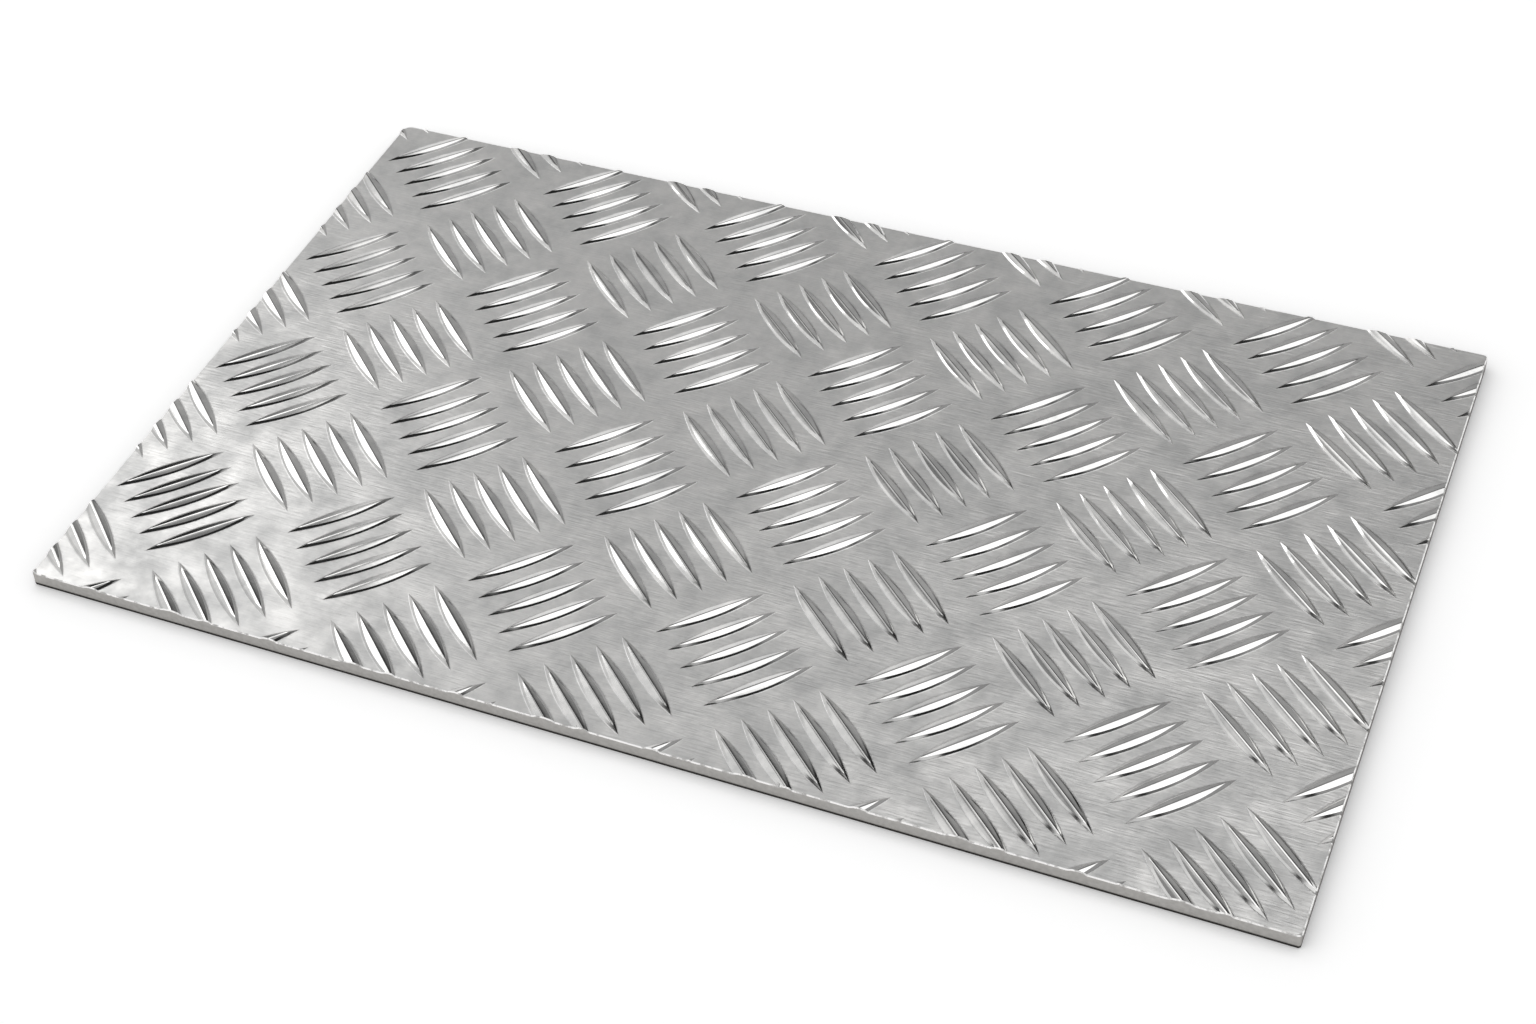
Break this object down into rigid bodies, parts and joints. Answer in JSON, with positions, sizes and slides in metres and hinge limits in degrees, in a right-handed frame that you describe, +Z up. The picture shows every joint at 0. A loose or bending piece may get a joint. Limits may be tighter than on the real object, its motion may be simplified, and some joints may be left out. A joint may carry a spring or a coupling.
{
  "type": "aluminium tread plate",
  "caption": "Rectangular sheet of mill-finish aluminium tread plate with raised lens-shaped bars in alternating diagonal groups, sheared edges and a flat underside.",
  "frame": {"origin": "middle of the flat underside", "axes": "+X along the long edges, +Y towards the back edge, +Z up out of the treaded face"},
  "size_m": [0.35, 0.225, 0.0052],
  "materials": {
    "aluminium": "mill finish, rolled"
  },
  "bodies": {
    "root": {"tread_plate": "aluminium"}
  },
  "joints": []
}
